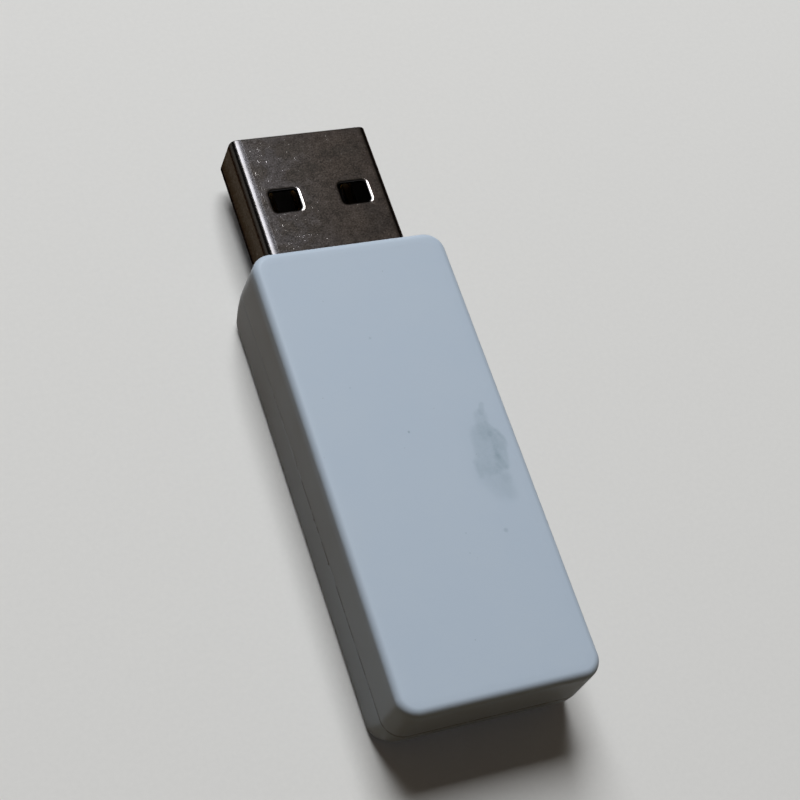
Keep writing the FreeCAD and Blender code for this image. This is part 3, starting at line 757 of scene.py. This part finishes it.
def makeTongue(look, room):
    # the rear block and the tongue, each its outline carried along Y, with a bevelled front edge;
    # then the contacts' grooves, and room for the sleeve's windows and bent tabs
    front, back, mouth = look.front, look.back, look.mouth
    bevel, edge, top, low = look.bevel, look.edge, look.top, look.grooveLow
    made = solid("plugTongue", [bar(tongueOutline(look, look.roof), back, mouth)])
    rows = []
    for y, drop, inset in ((back, 0, 0), (front - bevel, 0, 0),
                           (front - edge, bevel - edge, 0), (front, bevel + edge, edge)):
        outline = tongueOutline(look, top, inset)
        outline[:, 1] = np.minimum(outline[:, 1], top - drop)
        rows.append(np.insert(outline, 1, y, axis=1))
    carve(made, solid("tongue", [stacked(rows)]), "UNION")
    half, places = look.grooveHalf, look.grooveX
    cuts = [block(x - half, x + half, mouth - 0.01, end, low, top + 0.5)
            for x, end in zip(places, look.grooveFront)]
    cuts += [block(x - half, x + half, back - 1, mouth, low, top) for x in places]
    x, y = room.windowX, room.windowY
    wide, deep = [half + room.windowDish[0] for half in room.windowHalf]
    cuts += bothSides(block(x - wide, x + wide, y - deep, y + deep,
                            look.low - 1, look.low + look.reliefDepth))
    carve(made, solid("cuts", cuts), "DIFFERENCE")
    half, gap, (free, hinge) = room.tabHalf, room.tabGap, room.tabY
    low = room.high - room.sheet - room.tabDrop - room.tabPast
    pockets = [block(x - half - gap, x + half + gap, free - gap, hinge, low, look.pocketTop)
               for x in (-room.tabX, room.tabX)]
    carve(made, solid("pockets", pockets), "DIFFERENCE")
    return made


contact = Look(
    names=("contact_power", "contact_data_minus", "contact_data_plus", "contact_ground"),
    pieces=("contactPower", "contactDataMinus", "contactDataPlus", "contactGround"),
    halfWidth=0.5,
    thickness=0.25,
    edge=0.05,
    level=3.875,
    drop=0.25,
    step=(5.9, 6.7),
    end=5.1,
    nose=0.125,
)


def makeContact(look, name, x, front):
    # A strip with rounded edges carried along Y: level on the tongue, then down by a smooth step,
    # 3 t squared less 2 t cubed, to the board; its nose thins as a quarter circle.
    thin, nose, drop = look.thickness / 2, look.nose, look.drop
    low, high = look.step
    section = roundedOutline(look.halfWidth, -thin, thin, look.edge, 5)
    y = np.concatenate([[look.end], np.linspace(low, high, 15),
                        np.linspace(high, front - nose, 12)[1:],
                        front - nose + nose * np.sin(quarterTurn(6)[1:])])
    t = np.clip((y - low) / (high - low), 0, 1)
    level = look.level - drop * (1 - (3 * t ** 2 - 2 * t ** 3))
    slope = drop * 6 * t * (1 - t) / (high - low)
    past = np.clip((y - front + nose) / nose, 0, 1)
    upper = 1 - 0.5 * (1 - np.sqrt(1 - past ** 2))
    height = (section[:, 1] + thin) * upper[:, None] - thin
    tilt = 1 / np.sqrt(1 + slope ** 2)
    rows = np.stack([x + section[:, 0] + 0 * height, y[:, None] - height * (slope * tilt)[:, None],
                     level[:, None] + height * tilt[:, None]], -1)
    return solid(name, [stacked(list(rows))])


plugTongue = makeTongue(tongue, sleeve)
contacts = [makeContact(contact, piece, x, front)
            for piece, x, front in zip(contact.pieces, tongue.grooveX, tongue.grooveFront)]
print("tongue and contacts made")

coverLook = Look(
    tint=(0.395, 0.455, 0.525, 1),
    paleTint=(0.415, 0.470, 0.530, 1),
    tintSpread=(6.0, 1.3),
    smudge=(0.255, 0.315, 0.360, 1), smudgeGrain=(0.35, 4, 0.6),
    grime=(0.075, 0.072, 0.066, 1),
    upperFace=(7.4, 7.8),
    # painted warm shade on the sides and the near end: its colour, where it grows along Y, below
    # which level, and how much
    handled=(0.180, 0.135, 0.085, 1), handledFrom=(-28, 14),
    handledEnd=(-24.6, -25.2, 0.0, 0.34), handledBelow=(7.4, 6.4), handledShare=0.54,
    seam=3.6, seamHalf=(0.17, 0.05),
    # how dark the line is along the part, and the stretches that stand out: two ends and a strength
    seamFade=(-13.0, -14.5, 0.10, 0.80),
    seamMarks=((3.3, 1.3, 0.45), (-2.3, -3.0, 0.35), (-4.2, -7.7, 0.80),
                  (-8.2, -11.1, 1.0), (-13.2, -26.0, 0.85)),
    seamMarkEnd=0.4, seamBreaks=(1.6, 4, 0.7), seamBroken=(0.36, 0.56),
    seamDots=((-8.25, -7.45, 3.52), (-8.25, -11.15, 3.52)), seamDot=(0.17, 0.07),
    dustSpacing=1.1, dustReach=(0.055, 0.02),
    rubbed=((0.15, 0.5), (0.98, 0.8)),
    grain=(0.07, 2),
    ripple=(0.5, 2),
    # each stroke: its two ends, how far it reaches, its strength and how much of it is solid
    strokes=(
        (6.19, -2.43, 5.90, -3.08, 0.30, 0.30, 0.4),
        (5.80, -3.30, 5.55, -4.90, 0.66, 0.32, 0.4),
        (5.45, -5.00, 5.15, -7.30, 1.20, 0.34, 0.6),
        (6.50, -5.50, 6.15, -7.60, 0.66, 0.24, 0.6),
        (6.28, -4.95, 6.62, -5.95, 0.62, 0.24, 0.6),
        (6.55, -6.10, 6.45, -7.10, 0.50, 0.16, 0.5),
        (6.00, -3.92, 6.54, -4.71, 0.21, 0.20, 0.2),
        (6.54, -4.71, 7.00, -5.60, 0.20, 0.18, 0.2),
        (7.00, -5.75, 6.66, -7.20, 0.22, 0.08, 0.1),
        (6.02, -4.90, 6.02, -4.97, 0.28, 0.50, 0.3),
        (6.02, -6.06, 5.99, -6.87, 0.20, 0.50, 0.2),
        (5.93, -6.95, 5.93, -7.05, 0.38, 0.45, 0.3),
        (6.00, -6.80, 6.32, -7.85, 0.31, 0.46, 0.2),
        (5.75, -7.90, 6.05, -8.75, 0.60, 0.22, 0.3),
        (4.03, -6.99, 4.09, -8.20, 0.36, 0.34, 0.0),
        (4.75, -8.20, 5.50, -9.70, 1.35, 0.25, 0.1),
        (5.90, -8.90, 6.00, -10.2, 0.70, 0.14, 0.1),
        (5.50, -5.00, 5.20, -8.00, 2.40, 0.10, 0.1),
    ),
    # each speck: its place, how far it reaches and its strength
    specks=((-0.40, -3.62, 0.13, 0.9), (-0.85, 4.79, 0.14, 0.5), (4.45, -12.92, 0.24, 0.5),
               (-3.82, 0.84, 0.10, 0.4), (1.24, -12.53, 0.10, 0.4), (1.0, -14.14, 0.10, 0.4)),
)


def nearStroke(paint, spot, start, end, reach, solidPart=0.3):
    # 1 beside the line from start to end, falling softly to 0 at reach
    start, end = np.array([*start, 0.0]), np.array([*end, 0.0])
    along = end - start
    toSpot = paint.vector("SUBTRACT", spot, start.tolist())
    scaled = (along / max(along @ along, 1e-9)).tolist()
    share = paint.clamp(paint.vector("DOT_PRODUCT", toSpot, scaled, outlet="Value"))
    gap = paint.vector("SUBTRACT", toSpot, paint.vector("MULTIPLY", share, along.tolist()))
    return paint.ramp(paint.vector("LENGTH", gap, outlet="Value"), 1.1 * reach, solidPart * reach)


def smudges(paint, look):
    # the strokes, with edges that wander, and the small specks
    flat = paint.millimetres((1, 1, 0))
    spot = paint.warped(paint.warped(flat, 0.9, (0.25, 0.35, 0)), 0.2, (0.12, 0.14, 0))
    dark = 0.0
    for x0, y0, x1, y1, reach, strength, solidPart in look.strokes:
        stroke = nearStroke(paint, spot, (x0, y0), (x1, y1), reach, solidPart) * strength
        dark = dark + stroke * (1 - dark)
    dark = dark * (paint.noise(flat, *look.smudgeGrain) * 0.9 + 0.55)
    near = paint.warped(flat, 0.12, (0.08, 0.08, 0))
    for x, y, reach, strength in look.specks:
        dark = paint.larger(dark, nearStroke(paint, near, (x, y), (x, y), reach) * strength)
    return dark


def seamDirt(paint, look, spot):
    # dirt in the parting line, darker along some stretches, with breaks and two dots
    _, y, z = paint.parts(spot)
    dirt = paint.ramp(y, *look.seamFade)
    for start, end, strength in look.seamMarks:
        half = (start - end) / 2
        stretch = paint.ramp(abs(y - (start + end) / 2), half + look.seamMarkEnd, half)
        dirt = paint.larger(dirt, stretch * strength)
    breaks = paint.noise(paint.vector("MULTIPLY", spot, (1, 1, 0)), *look.seamBreaks)
    whole = paint.ramp(breaks, *look.seamBroken) * 0.55 + 0.45
    dirt = dirt * paint.ramp(abs(z - look.seam), *look.seamHalf) * whole
    for dot in look.seamDots:
        gap = paint.vector("DISTANCE", spot, dot, outlet="Value")
        dirt = paint.larger(dirt, paint.ramp(gap, *look.seamDot))
    return dirt


def coverPlastic(look):
    # satin moulded plastic, a little mottled, with dirt in the seam, painted warm shade on the
    # sides and the near end, and a smudge on the upper face
    paint, spot = newPaint("coverPlastic", look.tint)
    _, y, z = paint.parts(spot)
    wide, small = [paint.noise(spot, size) for size in look.tintSpread]
    paint.over(paint.clamp(wide * 1.2 + small * 0.5 - 0.35), look.paleTint)
    smudge = paint.clamp(smudges(paint, look) * paint.ramp(z, *look.upperFace))
    paint.over(smudge, look.smudge)
    dust = paint.ramp(paint.cells(spot, look.dustSpacing), *look.dustReach)
    dust = dust * paint.ramp(small, 0.5, 0.6)
    dirt = paint.clamp(seamDirt(paint, look, spot) + dust * 0.35)
    paint.over(dirt, look.grime)
    # painted shade: the sides and the near end are tinted a darker warm brown, more so towards the
    # front
    along = paint.larger(paint.ramp(y, *look.handledFrom), paint.ramp(y, *look.handledEnd))
    handled = paint.ramp(z, *look.handledBelow) * along * (wide * 0.8 + 0.6)
    paint.over(handled * look.handledShare, look.handled)
    # lighter on the rounded edges: partly rubbing wear, partly a painted sheen
    upward = paint.upward()
    fromWall, toFace = look.rubbed
    rubbed = paint.ramp(upward, *fromWall) * paint.ramp(upward, *toFace)
    paint.over(rubbed * small * 0.5, look.paleTint)
    roughness = small * 0.08 + wide * 0.06 + 0.45 - rubbed * 0.07 + smudge * 0.08
    height = paint.noise(spot, *look.grain) * 0.004 + wide * 0.007
    height = height + paint.noise(spot, *look.ripple) * 0.003 - dust * 0.01
    return paint.give(roughness, height, Specular_IOR_Level=0.32)


# each noise: its size, detail and coarseness; lengths in millimetres
steelLook = Look(
    brown=(0.285, 0.248, 0.222, 1),
    grey=(0.300, 0.280, 0.278, 1), greySide=(1.5, -3.5),
    stain=(0.205, 0.182, 0.165, 1),
    stains=(1.7, 5, 0.6),
    stained=(0.40, 0.62),
    grain=(0.16, 3, 0.65),
    blots=(0.5, 4, 0.6),
    sand=(0.12, 2, 0.6),
    # painted shade: the sleeve's sides are darker, and darker still towards the bottom
    side=(0.125, 0.114, 0.104, 1), sideFrom=(5.25, 5.9),
    dullSide=(4.8, 2.2, 0.0, 0.38),
    edgeTint=(0.30, 0.275, 0.255, 1),
    level=4.0,
    # painted shade: a dark line along each fold, as if the steel mirrored a dark room, and a darker
    # bend on the left that dims the lamp's mirrored highlight
    fold=(0.028, 0.025, 0.023, 1), foldX=(5.50, 5.68), foldZ=(1.15, 1.50),
    bendTint=(0.056, 0.053, 0.055, 1), bendFrom=(-4.98, -5.12), bendZ=(1.5, 1.9),
    bendShare=0.88, bendRough=(-4.94, -5.15),
    # the windows' cut walls, painted darker too so that the lamp's glint on them is dimmer: painted
    # shade
    wallTint=(0.054, 0.052, 0.051, 1), wallZ=(2.236, 2.222), wallX=(4.8, 4.7),
    wallY=(1.50, 1.40), wallMiddle=19.15,
    raw=(0.520, 0.500, 0.480, 1),
    pitSize=0.22, pitKept=(1.05, 1.15), pitReach=(0.24, 0.08),
    # two sets of scratches: how each is stretched, and its size
    hairs=(((1.2, 0.16, 1), 0.5), ((0.2, 1.1, 1), 0.45)),
    hairHalf=(0.010, 0.002),
    scratched=(0.60, 0.70),
    rim=0.07,
)


def plugSteel(look):
    # plated sheet: stained, finely mottled, pitted and scratched, more so on its left half; with a
    # painted sheen towards the left, and painted shade on its sides, along its folds, on the left
    # bend and on the windows' walls
    paint, spot = newPaint("plugSteel", look.brown)
    x, y, z = paint.parts(spot)
    fromMiddle, fromLevel = abs(x), abs(z - look.level)
    stains, grain, blots, sand = [paint.noise(spot, *look[name])
                                  for name in ("stains", "grain", "blots", "sand")]
    # lighter and greyer towards the left, beside the bend that mirrors the lamp: a painted sheen of
    # the lamp's spill
    left = paint.ramp(x + (stains - 0.5) * 6, *look.greySide)
    paint.over(left, look.grey)
    paint.over(paint.ramp(stains, *look.stained), look.stain)
    # painted shade: the sleeve's sides are painted darker than its faces, as if they mirrored a
    # dark room
    side = paint.ramp(fromMiddle, *look.sideFrom)
    paint.over(side, look.side)
    # painted shade: a dark line along each fold
    fold = paint.ramp(fromMiddle, *look.foldX) * paint.ramp(fromLevel, *look.foldZ)
    paint.over(fold * (blots * 0.5 + 0.45), look.fold)
    speckle = (grain * 1.3 + blots * 1.3 + sand * 1.9 - 2.22) * (1 - side * 0.6) + 1.0
    # painted shade: the sides grow darker still towards the bottom
    lower = paint.ramp(z, *look.dullSide) * side
    paint.over(1.0, speckle * (1 - lower), "MULTIPLY")
    # painted shade: the left bend, where the lamp is mirrored, is darkened so that its highlight is
    # dimmer
    bend = paint.ramp(x, *look.bendFrom) * paint.ramp(fromLevel, *look.bendZ)
    paint.over(bend * (1 - fold) * look.bendShare, look.bendTint)

    pitted = paint.warped(spot, 0.1, (0.05, 0.05, 0.05))
    chance = paint.parts(paint.cells(pitted, look.pitSize, "Color"))[0]
    kept = paint.ramp(chance + left * 0.2 + blots * 0.35, *look.pitKept)
    pits = paint.ramp(paint.cells(pitted, look.pitSize), *look.pitReach) * kept
    lines, wandering = 0.0, paint.warped(spot, 2.5, (1, 1, 0))
    for stretch, size in look.hairs:
        hair = paint.noise(paint.vector("MULTIPLY", wandering, stretch), size, 1)
        lines = paint.larger(lines, paint.ramp(abs(hair - 0.5), *look.hairHalf))
    scratches = lines * paint.ramp(blots + left * 0.06, *look.scratched)
    rim = paint.edges(look.rim)
    bare = paint.clamp(rim * 0.5 + (pits * 0.25 + scratches * 0.2) * (1 - bend))
    paint.over(bare, look.raw)
    # painted shade on the windows' cut walls
    wall = paint.ramp(fromLevel, *look.wallZ) * paint.ramp(fromMiddle, *look.wallX)
    wall = wall * paint.ramp(abs(y - look.wallMiddle), *look.wallY)
    paint.over(wall, look.wallTint)

    roughness = 0.07 + stains * 0.05 + grain * 0.07
    roughness = roughness + paint.ramp(x, *look.bendRough) * sand * 0.24
    for rough in (pits * 0.18, scratches * 0.18, rim * 0.25):
        roughness = paint.larger(roughness, rough)
    height = grain * 0.0008 + blots * 0.0012 - pits * 0.0010 - scratches * 0.0005
    return paint.give(roughness, height, Metallic=1.0, Specular_Tint=look.edgeTint)


mouldedLook = Look(patches=(0.8, 4), grain=(0.06, 3, 0.6), rim=0.05,
                   metal=(0.60, 0.60, 0.58, 1), metalRough=0.22)


def moulded(name, dark, light, roughness, metalShare=None, look=mouldedLook):
    # moulded or fired stuff with a fine grain and rubbed edges; metalShare says where metal shows
    paint, spot = newPaint(name, dark)
    coarse, grain = [paint.noise(spot, *look[name]) for name in ("patches", "grain")]
    rubbed = paint.edges(look.rim)
    paint.over(paint.clamp(coarse * 0.7 + grain * 0.6 - 0.2 + rubbed * 0.5), light)
    rough = coarse * 0.12 + grain * 0.1 + (roughness - 0.1) - rubbed * 0.1
    height = grain * 0.004 + coarse * 0.004
    if metalShare is None:
        return paint.give(rough, height)
    share = metalShare(paint, spot)
    tarnish = paint.mixColour(1.0, look.metal, coarse * 0.5 + 0.7, "MULTIPLY")
    paint.over(share, tarnish)
    rough = rough + share * (grain * 0.15 + look.metalRough - rough)
    return paint.give(rough, height, Metallic=share)


tinnedLook = Look(patches=(1.2, 4, 0.6), dulled=(0.35, 0.65), lines=(0.1, 2), rim=0.06)


def tinned(name, bright, dull, brush, roughness, look=tinnedLook):
    # bare or plated metal: dull patches, brush lines along one axis and bright edges
    paint, spot = newPaint(name, bright)
    patches = paint.noise(spot, *look.patches)
    lines = paint.noise(paint.vector("MULTIPLY", spot, brush), *look.lines)
    rim = paint.edges(look.rim)
    paint.over(paint.ramp(patches, *look.dulled), dull)
    paint.over(1.0, lines * 0.25 + 0.9 + rim * 0.2, "MULTIPLY")
    rough = patches * 0.2 + lines * 0.12 + (roughness - 0.12) + rim * 0.05
    return paint.give(rough, lines * 0.0016 + patches * 0.006, Metallic=1.0)


goldLook = Look(
    gold=(0.86, 0.62, 0.25, 1),
    deepGold=(0.74, 0.48, 0.17, 1),
    nickel=(0.60, 0.56, 0.48, 1),
    # painted shade: the contacts turn dark brown deeper inside the sleeve, beyond the mouth
    dull=(0.15, 0.10, 0.05, 1), dullBefore=(22.5, 20.6),
    wornFrom=(15.5, 18.0), wornHalf=(0.28, 0.12),
    patches=(0.9, 4),
    brush=(8, 0.4, 1),
    lines=(0.5, 2),
)


def goldPlate(look):
    # gold over nickel, rubbed thin where a socket's springs slide along the contacts' middles, and
    # painted dark as shade deeper inside the sleeve
    paint, spot = newPaint("contactGold", look.gold)
    x, y, _ = paint.parts(spot)
    lines = paint.noise(paint.vector("MULTIPLY", spot, look.brush), *look.lines)
    patches = paint.noise(spot, *look.patches)
    gaps = [abs(abs(x) - middle) for middle in tongue.grooveX[2:]]
    fromMiddle = paint.maths("MINIMUM", *gaps)
    worn = paint.ramp(fromMiddle + (patches - 0.5) * 0.3, *look.wornHalf)
    worn = worn * paint.ramp(y, *look.wornFrom)
    paint.over(patches, look.deepGold)
    paint.over(worn * (lines * 0.6 + 0.2), look.nickel)
    # painted shade: dark brown deeper inside the sleeve
    paint.over(paint.ramp(y, *look.dullBefore), look.dull)
    rough = patches * 0.12 + lines * 0.12 + 0.14 + worn * 0.1
    return paint.give(rough, lines * 0.0012 + patches * 0.002, Metallic=1.0)


boardLook = Look(
    lacquer=(0.012, 0.110, 0.045, 1),
    overCopper=(0.030, 0.210, 0.085, 1),
    edge=(0.42, 0.36, 0.17, 1),
    tin=(0.55, 0.55, 0.50, 1),
    block=3.4,
    trackPitch=0.62, trackEdge=(0.27, 0.22),
    via=1.55, viaOutside=(0.19, 0.165), viaInside=(0.07, 0.09),
    stains=(2.5, 4),
    weave=(0.12, 2),
    layer=0.2,
)


def laminate(look):
    # green lacquer over short runs of copper lines, with tinned through-holes and tan cut edges
    paint, spot = newPaint("boardLaminate", look.lacquer)
    x, y, z = paint.parts(spot)
    flat = paint.millimetres((1, 1, 0))
    chance = paint.parts(paint.cells(flat, look.block, "Color"))
    run = (x + paint.ramp(chance[0], 0.48, 0.52) * (y - x)) / look.trackPitch
    fromLine = abs(paint.maths("FRACT", run) - 0.5)
    tracks = paint.ramp(fromLine, *look.trackEdge) * paint.ramp(chance[1], 0.28, 0.32)
    hole = paint.cells(flat, look.via)
    vias = paint.ramp(hole, *look.viaOutside) * paint.ramp(hole, *look.viaInside)
    stains, weave = [paint.noise(spot, *look[name]) for name in ("stains", "weave")]
    paint.over(paint.clamp(tracks * 0.9 + stains * 0.15), look.overCopper)
    paint.over(vias, look.tin)
    cut = paint.ramp(paint.upward(), 0.6, 0.4)
    layers = paint.ramp(paint.maths("FRACT", z / look.layer) + weave * 0.3, 0.3, 0.7)
    edge = paint.mixColour(1.0, look.edge, layers * 0.3 + 0.7, "MULTIPLY")
    paint.over(cut, edge)
    rough = stains * 0.12 + weave * 0.06 + 0.2 + cut * 0.35
    height = tracks * 0.025 + vias * 0.02 + weave * 0.002
    return paint.give(rough, height, Metallic=vias * (1 - cut))


# where a small part's metal is bare; its border is softened over a short way
border = 0.02


def padsBelow(level):
    return lambda paint, spot: paint.ramp(paint.parts(spot)[2], level, level - border)


def leadsBeyond(middle, half):
    # a chip's leads stand out past its body along Y
    return lambda paint, spot: paint.ramp(abs(paint.parts(spot)[1] - middle), half, half + border)


def endCaps(*groups):
    # bare ends of small blocks along Y; each group: half their bodies' length, then their middles
    def share(paint, spot):
        body = 0.0
        for half, *middles in groups:
            for middle in middles:
                fromMiddle = abs(paint.parts(spot)[1] - middle)
                body = paint.larger(body, paint.ramp(fromMiddle, half, half - border))
        return 1 - body
    return share


black, resin = (0.012, 0.012, 0.013, 1), (0.022, 0.022, 0.024, 1)
cover, steel, gold = coverPlastic(coverLook), plugSteel(steelLook), goldPlate(goldLook)
can = tinned("canTin", (0.62, 0.62, 0.60, 1), (0.50, 0.50, 0.47, 1), (0.3, 6, 1), 0.34)
solder = tinned("solderJoint", (0.66, 0.67, 0.68, 1), (0.50, 0.50, 0.49, 1), (1, 1, 1), 0.26)
copper = tinned("trackCopper", (0.60, 0.38, 0.17, 1), (0.42, 0.30, 0.12, 1), (1, 1, 1), 0.30)
# what each node wears
wears = {
    "top_cover": cover,
    "bottom_cover": cover,
    "plug_shell": steel,
    "plug_insulator": moulded("tonguePlastic", (0.008, 0.008, 0.009, 1), resin, 0.6),
    **dict.fromkeys(contact.names, gold),
    "circuit_board": laminate(boardLook),
    "solder_joints": solder,
    "shield_can": can,
    "radio_crystal": can,
    "antenna_track": copper,
    "radio_chip": moulded("radioResin", black, resin, 0.5, padsBelow(3.55)),
    "memory_chip": moulded("memoryResin", black, resin, 0.5, leadsBeyond(-2.06, 1.95)),
    "voltage_regulator": moulded("regulatorResin", black, resin, 0.5, leadsBeyond(-1.16, 0.8)),
    "surge_protector": moulded("protectorResin", black, resin, 0.5, leadsBeyond(2.82, 0.8)),
    "input_fuse": moulded("fuseBody", (0.035, 0.16, 0.07, 1), (0.07, 0.24, 0.11, 1), 0.4,
                          endCaps((0.83, 2.82))),
    "ferrite_bead": moulded("ferrite", (0.09, 0.09, 0.10, 1), (0.15, 0.15, 0.16, 1), 0.6,
                            endCaps((0.53, 2.82))),
    "capacitors": moulded("capacitorCeramic", (0.36, 0.23, 0.12, 1), (0.48, 0.33, 0.20, 1), 0.5,
                          endCaps((0.43, -4.16), (0.28, -6.19, -11.79, -13.09, -14.43))),
    "resistors": moulded("resistorCoat", (0.03, 0.03, 0.034, 1), (0.07, 0.07, 0.075, 1), 0.45,
                         endCaps((0.28, -0.46, -2.06, -6.19, -14.43))),
    "antenna_coils": moulded("coilCeramic", (0.28, 0.36, 0.42, 1), (0.42, 0.48, 0.54, 1), 0.5,
                             endCaps((0.28, -20.23, -21.43, -22.63))),
}
for name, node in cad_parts.items():
    for slot in node.material_slots:
        slot.material = wears[name]
print("materials made for", len(wears), "nodes")


def finishPiece(piece, nodeName):
    # rounded faces shade smoothly, and large flat ones stay flat
    piece.data.materials.clear()
    piece.data.materials.append(wears[nodeName])
    piece.data.shade_smooth()
    piece.data.set_sharp_from_angle(angle=math.radians(sharpDegrees))
    piece.modifiers.new("flatStaysFlat", "WEIGHTED_NORMAL").keep_sharp = True
    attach(piece, "root")
    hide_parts(nodeName)


finishPiece(topCover, "top_cover")
finishPiece(bottomCover, "bottom_cover")
finishPiece(plugSleeve, "plug_shell")
finishPiece(plugTongue, "plug_insulator")
for piece, name in zip(contacts, contact.names):
    finishPiece(piece, name)
print("pieces dressed")
